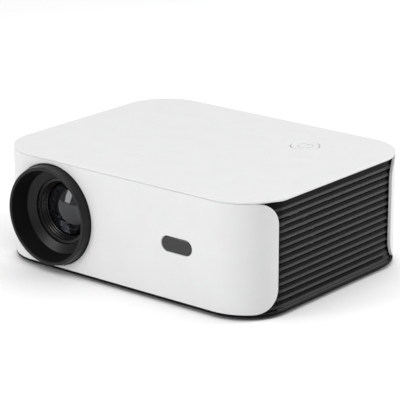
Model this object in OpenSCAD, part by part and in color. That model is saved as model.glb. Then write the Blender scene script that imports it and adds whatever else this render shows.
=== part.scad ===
/* [Body] */
// Width of the body
body_w = 200; // [200:1:206]
// Depth of the body, without the lens hood
body_d = 156; // [156:1:162]
// Height from the table to the top cover
total_h = 70; // [70:0.5:74]
// Height of the rubber feet below the base
foot_h = 1.8; // [1.2:0.1:2.2]
// Radius of the body's upright corners
corner_r = 30; // [29.5:0.5:31]
// Thickness of the front and rear panels
skin_t = 2; // [1.6:0.1:2.2]
// Thickness of the top cover at its edge
cover_t = 1.65; // [1.6:0.05:2.2]

/* [Side grilles] */
// Number of louvres in each side grille
louvre_n = 14; // [10:2:14]
// Height from one louvre to the next
louvre_pitch = 4.43; // [4.2:0.01:4.43]
// Height of the slot under each louvre
slot_h = 1.23; // [0.8:0.01:1.6]

/* [Lens] */
// Distance of the lens axis to the left of the middle
lens_x = 52.6; // [50:0.1:53]
// Height of the lens axis above the table
lens_z = 35.5; // [35:0.1:36]
// Radius of the hood at its rim
hood_r = 29.9; // [29:0.1:30]
// How far the hood stands out of the front panel
hood_out = 5.6; // [4:0.1:6]
// How far the lens cell moves either way in focusing
focus_travel = 4.5; // [3:0.1:4.5]

/* [Front window] */
// Distance of the window to the right of the middle
window_x = 43.4; // [36:0.1:46]
// Height of the window above the table
window_z = 36.5; // [34:0.1:38]
// Width of the window
window_w = 22; // [20:0.5:24]
// Height of the window
window_h = 9; // [8:0.5:10]

/* [Power button] */
// Distance of the button to the right of the middle
button_x = 46.3; // [44:0.1:48]
// Distance of the button behind the middle
button_y = 42.3; // [40:0.1:43]
// Radius of the button's opening
button_r = 9; // [8:0.1:9]
// Travel of the button
button_travel = 0.6; // [0.3:0.1:0.6]

/* [Fans] */
// Number of blades of the exhaust fan
blade_n = 7; // [5:1:9]
// Number of blades of the blower
blower_blade_n = 24; // [12:1:28]
// Number of heatsink fins
fin_n = 12; // [8:1:14]

/* [Hidden] */
$fn = 96;
cut = 1;                              // how far a cutter passes the face that it cuts
bond = 0.5;                           // how far a boss or a rib runs into what carries it

// Places of the body
mid_y = hood_out / 2;                 // middle of the body, front to rear
front_y = mid_y - body_d / 2;
rear_y = mid_y + body_d / 2;
corner_x = body_w / 2 - corner_r;     // the corner's centre, from the middle
corner_y = body_d / 2 - corner_r;

// Heights of the shells
base_z = foot_h;
base_edge_h = 1.6;
floor_z = base_z + base_edge_h;       // inner face of the base tray
cover_z = total_h - cover_t;          // inner face of the top cover
panel_top_z = total_h - 1.3;
seam = 0.15;                          // open line between two shells
edge_fillet = 0.6;
lip_h = 0.8;                          // locating lips on the base and the cover
lip_r0 = corner_r - 6.2;
lip_r1 = corner_r - 4.3;

// Panels
wrap_stop = 14;                       // angle that each panel stops short of the side
panel_turn = 90 - wrap_stop;
panel_end_r = 14;                     // rounding of a panel's free ends
panel_r = corner_r - skin_t;

// Grilles
grille_r0 = corner_r - 4;
grille_r1 = grille_r0 + 1;            // face of the wall between the louvres
louvre_r = panel_r - 0.1;             // outer edge of a louvre
louvre_top_z = total_h - 8.05;        // underside of the highest louvre's lip
lip_slope_h = 1.3;
lip_edge_h = 0.15;
slot_turn = 25;                       // long slots end here, under the panels
short_turn = 8.3;                     // short slots end here, in view
grille_turn = 40;
rib_n = 5;
rib_w = 1.6;

// Feet and screws
foot_r = 7;
foot_recess = 0.6;
foot_dx = 74;
foot_dy = 54;
post_r = 3.5;
post_dx = 84.5;
post_dy = 62.5;
post_top_z = 62;
screw_r = 1.3;
screw_hole_r = 1.5;
screw_head_r = 2.5;
screw_head_h = 1.8;
head_hole_r = 2.8;
head_floor_z = 50;
case_screw_l = post_top_z + 4.5 - head_floor_z;
tripod_r = 3.1;
tripod_out_r = 5;
tripod_h = 8;
tripod_y = -8;
tripod_boss_r = 6.6;

// Lens, in distances behind the panel's face
hood_base_r = 30.66;
ring_gap = 0.34;
bezel_chamfer = 0.7;
cell_r = 19.7;
cell_bore_r = 17.2;
cell_mouth_r = 19.1;
cell_front = 9;
cell_back = 53;
spacer_h = 5.5;
retainer_h = 3.6;
retainer_r = 15.4;                    // clear radius of the spacer and the rear retainer
barrel_r0 = 19.8;
barrel_r1 = 22.5;
barrel_front = 11.2;
barrel_back = 53.2;
clip_front = 24.3;
clip_t = 1.2;
groove_depth = 0.7;
flange_w = 54;
flange_h = 45;
flange_t = 3;
flange_dx = 22.5;                     // screw holes of the flange, from the lens axis
flange_dz = 17.5;
key_w = 4;
key_r = 21.4;
key_front = 34;
key_l = 8;

// Optical engine
engine_x0 = -86;
engine_x1 = -16;
arm_x1 = 34;
engine_y0 = front_y + barrel_back;
engine_y1 = 60;
arm_y0 = 2;
arm_y1 = 58;
engine_z0 = 6;
engine_z1 = 56;
engine_post = 4.5;                    // screw posts, in from the mirror box's corners
wall = 2;
lid_t = 2;
mirror_y = 30;
plate_w = 50;
plate_z0 = engine_z0 + wall;
plate_h = 47;
mirror_l = 68;
fresnel_x = -14;                      // plates across the arm, by their middles
lcd_x = -7.5;
rear_fresnel_x = -1.5;
heat_glass_x = 4;
fresnel_t = 2;
lcd_t = 3;
lamp_z = lens_z - 2;
pedestal_w = 28;

// Fans
fan_x0 = 78;
fan_y = 30;
fan_z = 35;
fan_w = 60;
fan_t = 15;
fan_bore_r = 28.6;
fan_hub_r = 12.5;
fan_hole = 25;
bush_r = 1.56;
shaft_r = 1.5;
blower_x = 34;
blower_y = -46;
blower_w = 50;
blower_z0 = 8;
blower_h = 15;
blower_lid_t = 1.5;
blower_hole = 21.5;                   // screw holes, from the blower's axis
chamber_r = 22.5;
inlet_r = 15;

// Boards and sockets
board_t = 1.6;
main_y = 66;
main_x0 = -44;
main_x1 = 66;
main_z0 = 8;
main_z1 = 58;
main_hole = 4;                        // screw holes, in from the board's edges
socket_y = rear_y - 0.5;
port_z = 20;
hdmi_x = -24;
usb_x = 2;
audio_x = 24;
dc_x = 46;
button_board_z = 61;
board_screw_dx = 15;                  // screws of the button's board, from the button's axis
board_post_r = 2.6;
switch_z = button_board_z + board_t;
switch_floor_z = switch_z + 1.4;
plunger_r = 1.6;
plunger_l = 1.6;
plunger_z = switch_floor_z + 0.2 + button_travel;
collar_z = 64.5;
cap_r = button_r - 0.35;
flange_top_z = cover_z - 0.3;
speaker_x = 92;
speaker_y = -30;
speaker_z = 35;
speaker_r = 20;
window_y = front_y + 0.3;
window_flange = 2.5;

// One arc of points, as [radius, height] round a centre
function arc(cx, cz, r, a0, a1, n) = [for (i = [0:n]) let (a = a0 + (a1 - a0) * i / n)
    [cx + r * cos(a), cz + r * sin(a)]];

// Radius of the sphere that has this sag at this radius
function sag_radius(r, sag) = (r * r + sag * sag) / (2 * sag);

// Sag of a sphere at a radius
function sag_at(r, sphere) = sphere - sqrt(sphere * sphere - r * r);

// Sweeps a section, drawn as [distance from the corner's centre, height], along the right
// side and round both of its corners by an angle
module side_sweep(turn) {
    translate([corner_x, mid_y + corner_y, 0])
        rotate([90, 0, 0])
            linear_extrude(2 * corner_y) children();
    side_corners(0, turn) children();
}

// The same section, only round the two right corners, between two angles from the side
module side_corners(from, to) {
    translate([corner_x, mid_y + corner_y, 0])
        rotate_extrude(angle = to - from, start = from) children();
    translate([corner_x, mid_y - corner_y, 0])
        rotate_extrude(angle = to - from, start = -to) children();
}

// Sweeps a section along the front and round both front corners by an angle
module front_sweep(turn) {
    front_bar() children();
    translate([corner_x, mid_y - corner_y, 0])
        rotate_extrude(angle = turn, start = -90) children();
    translate([-corner_x, mid_y - corner_y, 0])
        rotate_extrude(angle = turn, start = -90 - turn) children();
}

// The straight stretch of a section along the front
module front_bar() {
    translate([corner_x, mid_y - corner_y, 0])
        rotate([90, 0, -90])
            linear_extrude(2 * corner_x) children();
}

// Its children in place and mirrored to the rear
module both_ends() {
    children();
    rear_side() children();
}

// Its children mirrored to the rear
module rear_side() {
    translate([0, 2 * mid_y, 0]) mirror([0, 1, 0]) children();
}

// Its children in place and mirrored to the left
module both_sides() {
    children();
    mirror([1, 0, 0]) children();
}

// A slab with the body's outline; its edge follows the section, and its middle has the
// heights of the section's inner end
module slab(z0, h) {
    both_sides() side_sweep(90) children();
    both_ends() front_bar() children();
    translate([-corner_x, mid_y - corner_y, z0]) cube([2 * corner_x, 2 * corner_y, h]);
}

// A ring with the body's outline
module outline_ring() {
    both_sides() side_sweep(90) children();
    both_ends() front_bar() children();
}

// A rectangle between two radii and two heights
module band(r0, r1, z0, z1) {
    translate([r0, z0]) square([r1 - r0, z1 - z0]);
}

// Its children at the four post places
module at_posts() {
    for (sx = [-1, 1], sy = [-1, 1])
        translate([sx * post_dx, mid_y + sy * post_dy, 0]) children();
}

// Its children with their +Z turned into the body from the panel's face, on the lens axis
module on_lens_axis() {
    translate([-lens_x, front_y, lens_z]) rotate([-90, 0, 0]) children();
}

// A bar with round ends, lying along X, with its thickness along Y from 0
module pill(w, h, t) {
    r = h / 2;
    translate([-(w / 2 - r), 0, -r]) cube([w - h, t, h]);
    for (s = [-1, 1])
        translate([s * (w / 2 - r), 0, 0]) rotate([-90, 0, 0]) cylinder(r = r, h = t);
}

// A pill whose outline shrinks by the depth of a chamfer
module pill_chamfer(w, h, depth) {
    r = h / 2;
    for (s = [-1, 1])
        translate([s * (w / 2 - r), 0, 0])
            rotate([-90, 0, 0]) cylinder(r1 = r + depth, r2 = r, h = depth);
    translate([-(w / 2 - r), 0, 0])
        rotate([90, 0, 90])
            linear_extrude(w - h)
                polygon([[0, -r - depth], [depth, -r], [depth, r], [0, r + depth]]);
}

// A pan-head screw with its head at the bottom, pointing up from the origin
module screw(l) {
    cylinder(r = screw_r, h = l);
    translate([0, 0, -screw_head_h]) difference() {
        cylinder(r = screw_head_r, h = screw_head_h);
        translate([0, 0, -cut]) cylinder(r = 1.1, h = cut + 1, $fn = 6);
    }
}

// A round lens element on the lens axis, between two spheres
module element(r, front, back, front_sag, back_sag) {
    sphere_front = sag_radius(r, front_sag);
    sphere_back = sag_radius(r, back_sag);
    steps = 10;
    rotate_extrude() polygon(concat(
        [for (i = [0:steps]) let (x = r * i / steps) [x, front + sag_at(x, sphere_front)]],
        [for (i = [steps:-1:0]) let (x = r * i / steps) [x, back - sag_at(x, sphere_back)]]));
}

// ---------------------------------------------------------------- casing

module base_tray() {
    foot_hole_z = base_z - cut;
    cove_r = 1.6;                     // hollow at the foot of each side wall
    rest_r = 3;                       // pillars that the engine and the blower rest on
    color("#202123") difference() {
        union() {
            slab(base_z, base_edge_h)
                polygon([[0, base_z], [corner_r - edge_fillet, base_z],
                         [corner_r, base_z + edge_fillet], [corner_r, floor_z], [0, floor_z]]);
            outline_ring() band(lip_r0, lip_r1, floor_z - bond, floor_z + lip_h);
            both_sides() side_sweep(wrap_stop - 0.5)
                polygon(concat([[panel_r, floor_z - bond]],
                               [[corner_r, floor_z - bond]],
                               arc(corner_r, floor_z + cove_r, cove_r, 270, 190, 5),
                               [[panel_r, floor_z + cove_r - 0.3]]));
            at_posts() translate([0, 0, floor_z - bond])
                cylinder(r = post_r, h = post_top_z - floor_z + bond);
            translate([0, tripod_y, floor_z - bond]) cylinder(r = tripod_boss_r, h = tripod_h + bond);
            for (x = [engine_x0 + 6, engine_x1 - 6, arm_x1 - 6], y = [arm_y0 + 6, arm_y1 - 6])
                translate([x, y, floor_z - bond]) cylinder(r = rest_r, h = engine_z0 - floor_z + bond);
            for (s = [-1, 1]) translate([blower_x + s * 18, blower_y + s * 18, floor_z - bond])
                cylinder(r = rest_r, h = blower_z0 - floor_z + bond);
        }
        at_posts() {
            translate([0, 0, base_z - cut]) cylinder(r = head_hole_r, h = head_floor_z - base_z + cut);
            cylinder(r = screw_hole_r, h = post_top_z + cut);
        }
        for (sx = [-1, 1], sy = [-1, 1])
            translate([sx * foot_dx, mid_y + sy * foot_dy, foot_hole_z])
                cylinder(r = foot_r + 0.1, h = foot_recess + cut);
        translate([0, tripod_y, base_z - cut]) cylinder(r = tripod_out_r, h = tripod_h + cut);
    }
}

module top_cover() {
    button_pos = [button_x, button_y, 0];
    collar_r = button_r + 1.6;        // guide round the button's flange
    collar_t = 1.4;
    color("#ecedee") difference() {
        union() {
            slab(cover_z, cover_t)
                polygon(concat([[0, cover_z], [corner_r, cover_z]],
                               arc(corner_r - edge_fillet, total_h - edge_fillet, edge_fillet, 0, 90, 4),
                               [[0, total_h]]));
            outline_ring() band(lip_r0, lip_r1, cover_z - lip_h, cover_z + bond);
            at_posts() translate([0, 0, post_top_z])
                cylinder(r = post_r, h = cover_z - post_top_z + bond);
            translate(button_pos) translate([0, 0, collar_z]) difference() {
                cylinder(r = collar_r + collar_t, h = cover_z - collar_z + bond);
                translate([0, 0, -cut]) cylinder(r = collar_r, h = cover_z - collar_z + bond + 2 * cut);
            }
            for (s = [-1, 1]) translate([button_x + s * board_screw_dx, button_y, switch_z])
                cylinder(r = board_post_r, h = cover_z - switch_z + bond);
        }
        // rebates that the panels' top edges sit in
        both_ends() front_sweep(panel_turn + 0.6)
            band(panel_r - seam, corner_r + cut, cover_z - cut, panel_top_z + seam);
        // opening of the button, with a bevelled edge
        translate(button_pos) {
            translate([0, 0, cover_z - cut]) cylinder(r = button_r, h = cover_t + 2 * cut);
            translate([0, 0, total_h - 0.5]) cylinder(r1 = button_r - 0.1, r2 = button_r + 0.5, h = 0.6);
        }
        at_posts() translate([0, 0, post_top_z - cut]) cylinder(r = screw_r, h = 5 + cut);
        for (s = [-1, 1]) translate([button_x + s * board_screw_dx, button_y, switch_z - cut])
            cylinder(r = screw_r, h = 4 + cut);
    }
}

// The wall of a panel, with its free ends rounded
module panel_wall() {
    end_y = mid_y - corner_y - corner_r * sin(wrap_stop);
    round_y = end_y - panel_end_r;
    difference() {
        front_sweep(panel_turn) band(panel_r, corner_r, floor_z, panel_top_z);
        for (s = [0, 1]) {
            sign = s == 0 ? -1 : 1;
            corner_z = s == 0 ? floor_z : panel_top_z;
            centre_z = corner_z - sign * panel_end_r;
            difference() {
                translate([-body_w, round_y, s == 0 ? floor_z - cut : centre_z])
                    cube([2 * body_w, panel_end_r + 10, panel_end_r + cut]);
                translate([-body_w - cut, round_y, centre_z])
                    rotate([0, 90, 0]) cylinder(r = panel_end_r, h = 2 * body_w + 2 * cut);
            }
        }
    }
}

module front_panel() {
    opening_r = hood_base_r + ring_gap;
    opening_l = 10;                   // reaches past the panel's curved corner
    color("#ebecee") difference() {
        panel_wall();
        on_lens_axis() translate([0, 0, -cut]) cylinder(r = opening_r, h = opening_l);
        on_lens_axis() translate([0, 0, -bezel_chamfer])
            cylinder(r1 = opening_r + 2 * bezel_chamfer, r2 = opening_r, h = 2 * bezel_chamfer);
        translate([window_x, front_y - cut, window_z])
            pill(window_w + 0.4, window_h + 0.4, skin_t + 2 * cut);
        translate([window_x, front_y, window_z]) pill_chamfer(window_w + 0.4, window_h + 0.4, 0.4);
    }
}

module rear_panel() {
    y0 = rear_y - skin_t - cut;
    t = skin_t + 2 * cut;
    color("#ebecee") difference() {
        rear_side() panel_wall();
        for (hole = [[hdmi_x, 16, 6.8], [usb_x, 14, 7.2]])
            translate([hole[0] - hole[1] / 2, y0, port_z - hole[2] / 2]) cube([hole[1], t, hole[2]]);
        for (hole = [[audio_x, 3.4], [dc_x, 5.2]])
            translate([hole[0], y0, port_z]) rotate([-90, 0, 0]) cylinder(r = hole[1], h = t);
    }
}

// Section of the wall with its louvres' lips, from the sill to the top band
module louvre_section() {
    lips = [for (k = [louvre_n - 1:-1:0]) let (z = louvre_top_z - k * louvre_pitch)
        each [[grille_r1, z], [louvre_r, z], [louvre_r, z + lip_edge_h], [grille_r1, z + lip_slope_h]]];
    sill = [[grille_r0, floor_z], [louvre_r, floor_z], [louvre_r, lips[1][1]]];
    above_sill = [for (i = [2:len(lips) - 1]) lips[i]];
    polygon(concat(sill, above_sill, [[grille_r1, cover_z], [grille_r0, cover_z]]));
}

// The right grille; the left one is its mirror
module grille() {
    rib_out = 0.3;
    rib_z0 = floor_z + lip_h + 0.2;
    rib_z1 = cover_z - lip_h - 0.2;
    difference() {
        union() {
            side_sweep(slot_turn) louvre_section();
            side_corners(slot_turn, grille_turn) band(grille_r0, louvre_r, floor_z, cover_z);
            for (i = [0:rib_n - 1])
                translate([corner_x + grille_r0 - rib_w,
                           mid_y + 0.9 * corner_y * (2 * i / (rib_n - 1) - 1) - rib_w / 2, rib_z0])
                    cube([rib_w + 0.1, rib_w, rib_z1 - rib_z0]);
        }
        for (k = [0:louvre_n - 2]) {
            z = louvre_top_z - k * louvre_pitch;
            side_sweep(k % 2 == 0 ? short_turn : slot_turn)
                band(grille_r0 - rib_out, corner_r, z - slot_h, z);
        }
    }
}

module right_grille() {
    color("#26272a") grille();
}

module left_grille() {
    color("#26272a") mirror([1, 0, 0]) grille();
}

module dust_filter() {
    t = 1.6;
    w = 88;
    h = 52;
    z = 8;
    color("#3c3d40") translate([-(corner_x + grille_r0 - rib_w - 0.1), mid_y - w / 2, z])
        cube([t, w, h]);
}

module foot(sx, sy) {
    bevel = 0.6;
    color("#1a1a1b") translate([sx * foot_dx, mid_y + sy * foot_dy, 0]) {
        cylinder(r1 = foot_r - bevel, r2 = foot_r, h = bevel);
        translate([0, 0, bevel]) cylinder(r = foot_r, h = foot_h + foot_recess - bevel);
    }
}

module foot_front_left() {
    foot(-1, -1);
}

module foot_front_right() {
    foot(1, -1);
}

module foot_rear_left() {
    foot(-1, 1);
}

module foot_rear_right() {
    foot(1, 1);
}

module tripod_insert() {
    color("#b8965a") translate([0, tripod_y, base_z]) difference() {
        cylinder(r = tripod_out_r, h = tripod_h);
        translate([0, 0, -cut]) cylinder(r = tripod_r, h = tripod_h - 1 + cut);
    }
}

module case_screws() {
    color("#6d6f73") at_posts() translate([0, 0, head_floor_z]) screw(case_screw_l);
}

module ir_window() {
    color("#141416") {
        translate([window_x, window_y, window_z]) pill(window_w, window_h, front_y + skin_t - window_y);
        translate([window_x, front_y + skin_t, window_z])
            pill(window_w + 2 * window_flange, window_h + 2 * window_flange, 1);
    }
}

// ---------------------------------------------------------------- power button

module power_button() {
    icon_r = 4.6;
    icon_w = 0.8;
    icon_depth = 0.25;
    cap_top_z = total_h - 0.1;
    cap_bevel = 0.4;
    stem_r = 2.2;
    icon_z = cap_top_z - icon_depth;
    color("#ecedee") translate([button_x, button_y, 0]) difference() {
        union() {
            translate([0, 0, flange_top_z - 0.9])
                cylinder(r = cap_r, h = cap_top_z - cap_bevel - flange_top_z + 0.9);
            translate([0, 0, cap_top_z - cap_bevel])
                cylinder(r1 = cap_r, r2 = cap_r - 0.3, h = cap_bevel);
            translate([0, 0, flange_top_z - 1]) cylinder(r = button_r + 1.1, h = 1);
            translate([0, 0, plunger_z + plunger_l])
                cylinder(r = stem_r, h = flange_top_z - 0.4 - plunger_z - plunger_l);
        }
        // ring of the power symbol, open at the rear, and its bar
        rotate([0, 0, 120]) rotate_extrude(angle = 300)
            translate([icon_r - icon_w / 2, icon_z]) square([icon_w, 1]);
        translate([-icon_w / 2, icon_r - 3.4, icon_z]) cube([icon_w, 4.4, 1]);
    }
}

module switch_plunger() {
    color("#2f6fb0") translate([button_x, button_y, plunger_z])
        cylinder(r = plunger_r, h = plunger_l);
}

module tact_switch() {
    w = 6;
    h = 3.1;
    color("#2b2c2f") translate([button_x, button_y, 0]) difference() {
        translate([-w / 2, -w / 2, switch_z]) cube([w, w, h]);
        translate([0, 0, switch_floor_z]) cylinder(r = plunger_r + 0.08, h = h);
    }
}

module button_board() {
    w = 37;
    d = 12;
    color("#2e6b46") translate([button_x, button_y, button_board_z]) difference() {
        translate([-w / 2, -d / 2, 0]) cube([w, d, board_t]);
        for (s = [-1, 1]) translate([s * board_screw_dx, 0, -cut])
            cylinder(r = screw_hole_r, h = board_t + 2 * cut);
    }
}

module button_board_screws() {
    color("#6d6f73") for (s = [-1, 1])
        translate([button_x + s * board_screw_dx, button_y, button_board_z]) screw(5);
}

// ---------------------------------------------------------------- lens

module focus_ring() {
    rim_r = hood_r - 0.3;
    color("#19191b") on_lens_axis() rotate_extrude() polygon([
        [rim_r, -hood_out], [hood_r, 0.3 - hood_out], [hood_base_r, 0], [hood_base_r, 5.5],
        [24.8, 9.5], [24.8, 24], [barrel_r1 + 0.08, 24], [barrel_r1 + 0.08, 11],
        [20.07, 10], [20.07, 8], [25.6, 5.74], [27.9, 0.3 - hood_out], [28.1, -hood_out]]);
}

module lens_cell() {
    color("#222326") on_lens_axis() {
        rotate_extrude() polygon([
            [cell_mouth_r, cell_front], [cell_r, cell_front], [cell_r, cell_back],
            [cell_bore_r, cell_back], [cell_bore_r, 22], [15.8, 22], [15.8, 20.4],
            [cell_mouth_r, 20.4]]);
        for (s = [-1, 1])
            translate([s > 0 ? cell_r - 0.4 : -key_r, -key_w / 2, key_front])
                cube([key_r - cell_r + 0.4, key_w, key_l]);
    }
}

module front_retainer() {
    color("#1c1c1e") on_lens_axis() rotate_extrude() polygon([
        [18.4, cell_front + 0.1], [19, cell_front + 0.1], [19, 15.1], [16.65, 15.1]]);
}

module front_element() {
    color("#9fb4c8", 0.5) on_lens_axis() {
        vertex = 9.4;
        sphere_r = sag_radius(16.65, 5.74);
        steps = 12;
        edge_r = 18.8;
        back = 20.3;
        rotate_extrude() polygon(concat(
            [for (i = [0:steps]) let (x = edge_r * i / steps) [x, vertex + sag_at(x, sphere_r)]],
            [[edge_r, back], [0, back]]));
    }
}

module spacer_ring() {
    color("#1c1c1e") on_lens_axis() translate([0, 0, 22]) difference() {
        cylinder(r = cell_bore_r - 0.1, h = spacer_h);
        translate([0, 0, -cut]) cylinder(r = retainer_r, h = spacer_h + 2 * cut);
    }
}

module middle_element() {
    color("#9fb4c8", 0.5) on_lens_axis()
        element(cell_bore_r - 0.1, 26.5, 36, 1.6, 1.4);
}

module rear_element() {
    color("#9fb4c8", 0.5) on_lens_axis()
        element(cell_bore_r - 0.1, 38.2, 49, 1.2, 2.4);
}

module rear_retainer() {
    color("#1c1c1e") on_lens_axis() translate([0, 0, 49.2]) difference() {
        cylinder(r = cell_bore_r - 0.1, h = retainer_h);
        translate([0, 0, -cut]) cylinder(r = retainer_r, h = retainer_h + 2 * cut);
    }
}

// Its children at the four screw holes of the barrel's flange
module at_flange_holes() {
    for (sx = [-1, 1], sz = [-1, 1]) translate([sx * flange_dx, sz * flange_dz, 0]) children();
}

module lens_barrel() {
    slot_l = key_l + 2 * focus_travel + 1;
    slot_front = key_front - focus_travel - 0.5;
    color("#2a2b2e") on_lens_axis() difference() {
        union() {
            translate([0, 0, barrel_front]) cylinder(r = barrel_r1, h = barrel_back - barrel_front);
            translate([-flange_w / 2, -flange_h / 2, barrel_back - flange_t])
                cube([flange_w, flange_h, flange_t]);
        }
        translate([0, 0, barrel_front - cut]) cylinder(r = barrel_r0, h = barrel_back);
        translate([0, 0, clip_front]) difference() {
            cylinder(r = barrel_r1 + cut, h = clip_t + 0.2);
            translate([0, 0, -cut]) cylinder(r = barrel_r1 - groove_depth, h = clip_t + 3 * cut);
        }
        for (s = [-1, 1]) translate([s > 0 ? 0 : -barrel_r1 - cut, -key_w / 2 - 0.3, slot_front])
            cube([barrel_r1 + cut, key_w + 0.6, slot_l]);
        at_flange_holes() translate([0, 0, barrel_back - flange_t - cut])
            cylinder(r = screw_hole_r, h = flange_t + 2 * cut);
    }
}

module barrel_clip() {
    color("#8d9095") on_lens_axis() translate([0, 0, clip_front + 0.1])
        rotate([0, 0, 120]) rotate_extrude(angle = 300)
            band(barrel_r1 - groove_depth + 0.05, barrel_r1 + 2.2, 0, clip_t);
}

module lens_screws() {
    color("#6d6f73") on_lens_axis() at_flange_holes()
        translate([0, 0, barrel_back - flange_t]) screw(6);
}

// ---------------------------------------------------------------- optical engine

// Plan of the engine, drawn in by a margin
module engine_plan(margin) {
    translate([engine_x0 + margin, engine_y0 + margin])
        square([engine_x1 - engine_x0 - 2 * margin, engine_y1 - engine_y0 - 2 * margin]);
    translate([engine_x1 - margin - 1, arm_y0 + margin])
        square([arm_x1 - engine_x1 + 1, arm_y1 - arm_y0 - 2 * margin]);
}

// Its children at the four screw posts of the mirror box
module at_engine_posts() {
    for (x = [engine_x0 + engine_post, engine_x1 - engine_post],
         y = [engine_y0 + engine_post, engine_y1 - engine_post])
        translate([x, y, 0]) children();
}

// A pair of upright rails on each side wall of the arm, for a plate of a thickness
module plate_rails(x, t) {
    rail_w = 1.5;
    gap = t + 0.2;
    for (y = [arm_y0 + wall - 0.1, arm_y1 - wall - 1.4], s = [-gap / 2 - rail_w, gap / 2])
        translate([x + s, y, plate_z0 - 0.1]) cube([rail_w, 1.5, plate_h]);
}

module engine_housing() {
    color("#2d2e31") difference() {
        union() {
            difference() {
                translate([0, 0, engine_z0]) linear_extrude(engine_z1 - engine_z0) engine_plan(0);
                translate([0, 0, engine_z0 + wall]) linear_extrude(engine_z1) engine_plan(wall);
            }
            plate_rails(fresnel_x, fresnel_t);
            plate_rails(lcd_x, lcd_t);
            plate_rails(rear_fresnel_x, fresnel_t);
            plate_rails(heat_glass_x, fresnel_t);
            at_engine_posts() translate([0, 0, engine_z0 + 0.5])
                cylinder(r = 3, h = engine_z1 - engine_z0 - 0.5);
        }
        on_lens_axis() translate([0, 0, barrel_back - cut])
            cylinder(r = barrel_r0 + 0.5, h = wall + 2 * cut);
        on_lens_axis() at_flange_holes() translate([0, 0, barrel_back - cut])
            cylinder(r = screw_r, h = 4 + cut);
        // opening for the lamp's pedestal
        translate([arm_x1 - wall - cut, mirror_y - pedestal_w / 2 - 0.3, lamp_z - pedestal_w / 2 - 0.3])
            cube([wall + 2 * cut, pedestal_w + 0.6, pedestal_w + 0.6]);
        at_engine_posts() translate([0, 0, engine_z1 - 6]) cylinder(r = screw_r, h = 6 + cut);
    }
}

module engine_lid() {
    color("#36373a") difference() {
        translate([0, 0, engine_z1]) linear_extrude(lid_t) engine_plan(0);
        at_engine_posts() translate([0, 0, engine_z1 - cut])
            cylinder(r = screw_hole_r, h = lid_t + 2 * cut);
    }
}

module engine_screws() {
    color("#6d6f73") at_engine_posts() translate([0, 0, engine_z1 + lid_t])
        rotate([180, 0, 0]) screw(6);
}

module fold_mirror() {
    color("#c9d2da") translate([-lens_x, mirror_y, plate_z0])
        rotate([0, 0, 45]) translate([-mirror_l / 2, 0, 0]) cube([mirror_l, 2, plate_h]);
}

// An upright plate across the engine's arm
module arm_plate(x, t) {
    translate([x - t / 2, (arm_y0 + arm_y1 - plate_w) / 2, plate_z0]) cube([t, plate_w, plate_h]);
}

module front_fresnel() {
    color("#bcd0de", 0.6) arm_plate(fresnel_x, fresnel_t);
}

module lcd_panel() {
    color("#1f2a30") arm_plate(lcd_x, lcd_t);
}

module rear_fresnel() {
    color("#bcd0de", 0.6) arm_plate(rear_fresnel_x, fresnel_t);
}

module heat_glass() {
    color("#bfe0d4", 0.6) arm_plate(heat_glass_x, fresnel_t);
}

module condenser_lens() {
    color("#c8dbe6", 0.6) translate([16, mirror_y, lamp_z]) rotate([0, -90, 0])
        element(20, 0, 10, 0.4, 6);
}

module light_funnel() {
    l = 12;
    color("#d5d8da") translate([18, mirror_y, lamp_z]) rotate([0, 90, 0]) difference() {
        linear_extrude(l, scale = 0.4) square(40, center = true);
        translate([0, 0, -0.01]) linear_extrude(l + 0.02, scale = 0.37) square(37, center = true);
    }
}

module led_module() {
    w = 30;
    t = 1.8;
    color("#c77b3e") translate([arm_x1 - wall - t, mirror_y - w / 2, lamp_z - w / 2]) cube([t, w, w]);
}

module led_heatsink() {
    base_x = 35;
    fin_x1 = 76;
    fin_t = 1.2;
    fin_w = 50;
    plate_t = 5;
    sink_z0 = 9;
    sink_h = 48;
    pitch = (fin_w - fin_t) / (fin_n - 1);
    color("#a9adb1") {
        translate([arm_x1 - wall, mirror_y - pedestal_w / 2, lamp_z - pedestal_w / 2])
            cube([base_x - arm_x1 + wall + bond, pedestal_w, pedestal_w]);
        translate([base_x, mirror_y - fin_w / 2, sink_z0]) cube([plate_t, fin_w, sink_h]);
        for (i = [0:fin_n - 1])
            translate([base_x + plate_t - bond, mirror_y - fin_w / 2 + i * pitch, sink_z0])
                cube([fin_x1 - base_x - plate_t + bond, fin_t, sink_h]);
    }
}

// ---------------------------------------------------------------- fans

// Its children with +Z turned to the right, on the exhaust fan's axis
module on_fan_axis() {
    translate([fan_x0, fan_y, fan_z]) rotate([0, 90, 0]) children();
}

module exhaust_fan_frame() {
    strut_w = 4;
    strut_t = 2;
    bush_x = 5;
    hole_r = 2.1;
    boss_r = 3.2;
    color("#1e1f21") on_fan_axis() {
        difference() {
            translate([-fan_w / 2, -fan_w / 2, 0]) cube([fan_w, fan_w, fan_t]);
            translate([0, 0, -cut]) cylinder(r = fan_bore_r, h = fan_t + 2 * cut);
            for (sx = [-1, 1], sy = [-1, 1]) translate([sx * fan_hole, sy * fan_hole, -cut])
                cylinder(r = hole_r, h = fan_t + 2 * cut);
        }
        difference() {
            union() {
                translate([0, 0, fan_t - strut_t]) cylinder(r = fan_hub_r, h = strut_t);
                translate([0, 0, bush_x]) cylinder(r = boss_r, h = fan_t - bush_x);
                for (a = [45:90:315]) rotate([0, 0, a])
                    translate([fan_hub_r - 1, -strut_w / 2, fan_t - strut_t])
                        cube([fan_bore_r - fan_hub_r + 2, strut_w, strut_t]);
            }
            translate([0, 0, bush_x - cut]) cylinder(r = bush_r, h = fan_t - bush_x - 0.6 + cut);
        }
    }
}

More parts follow.
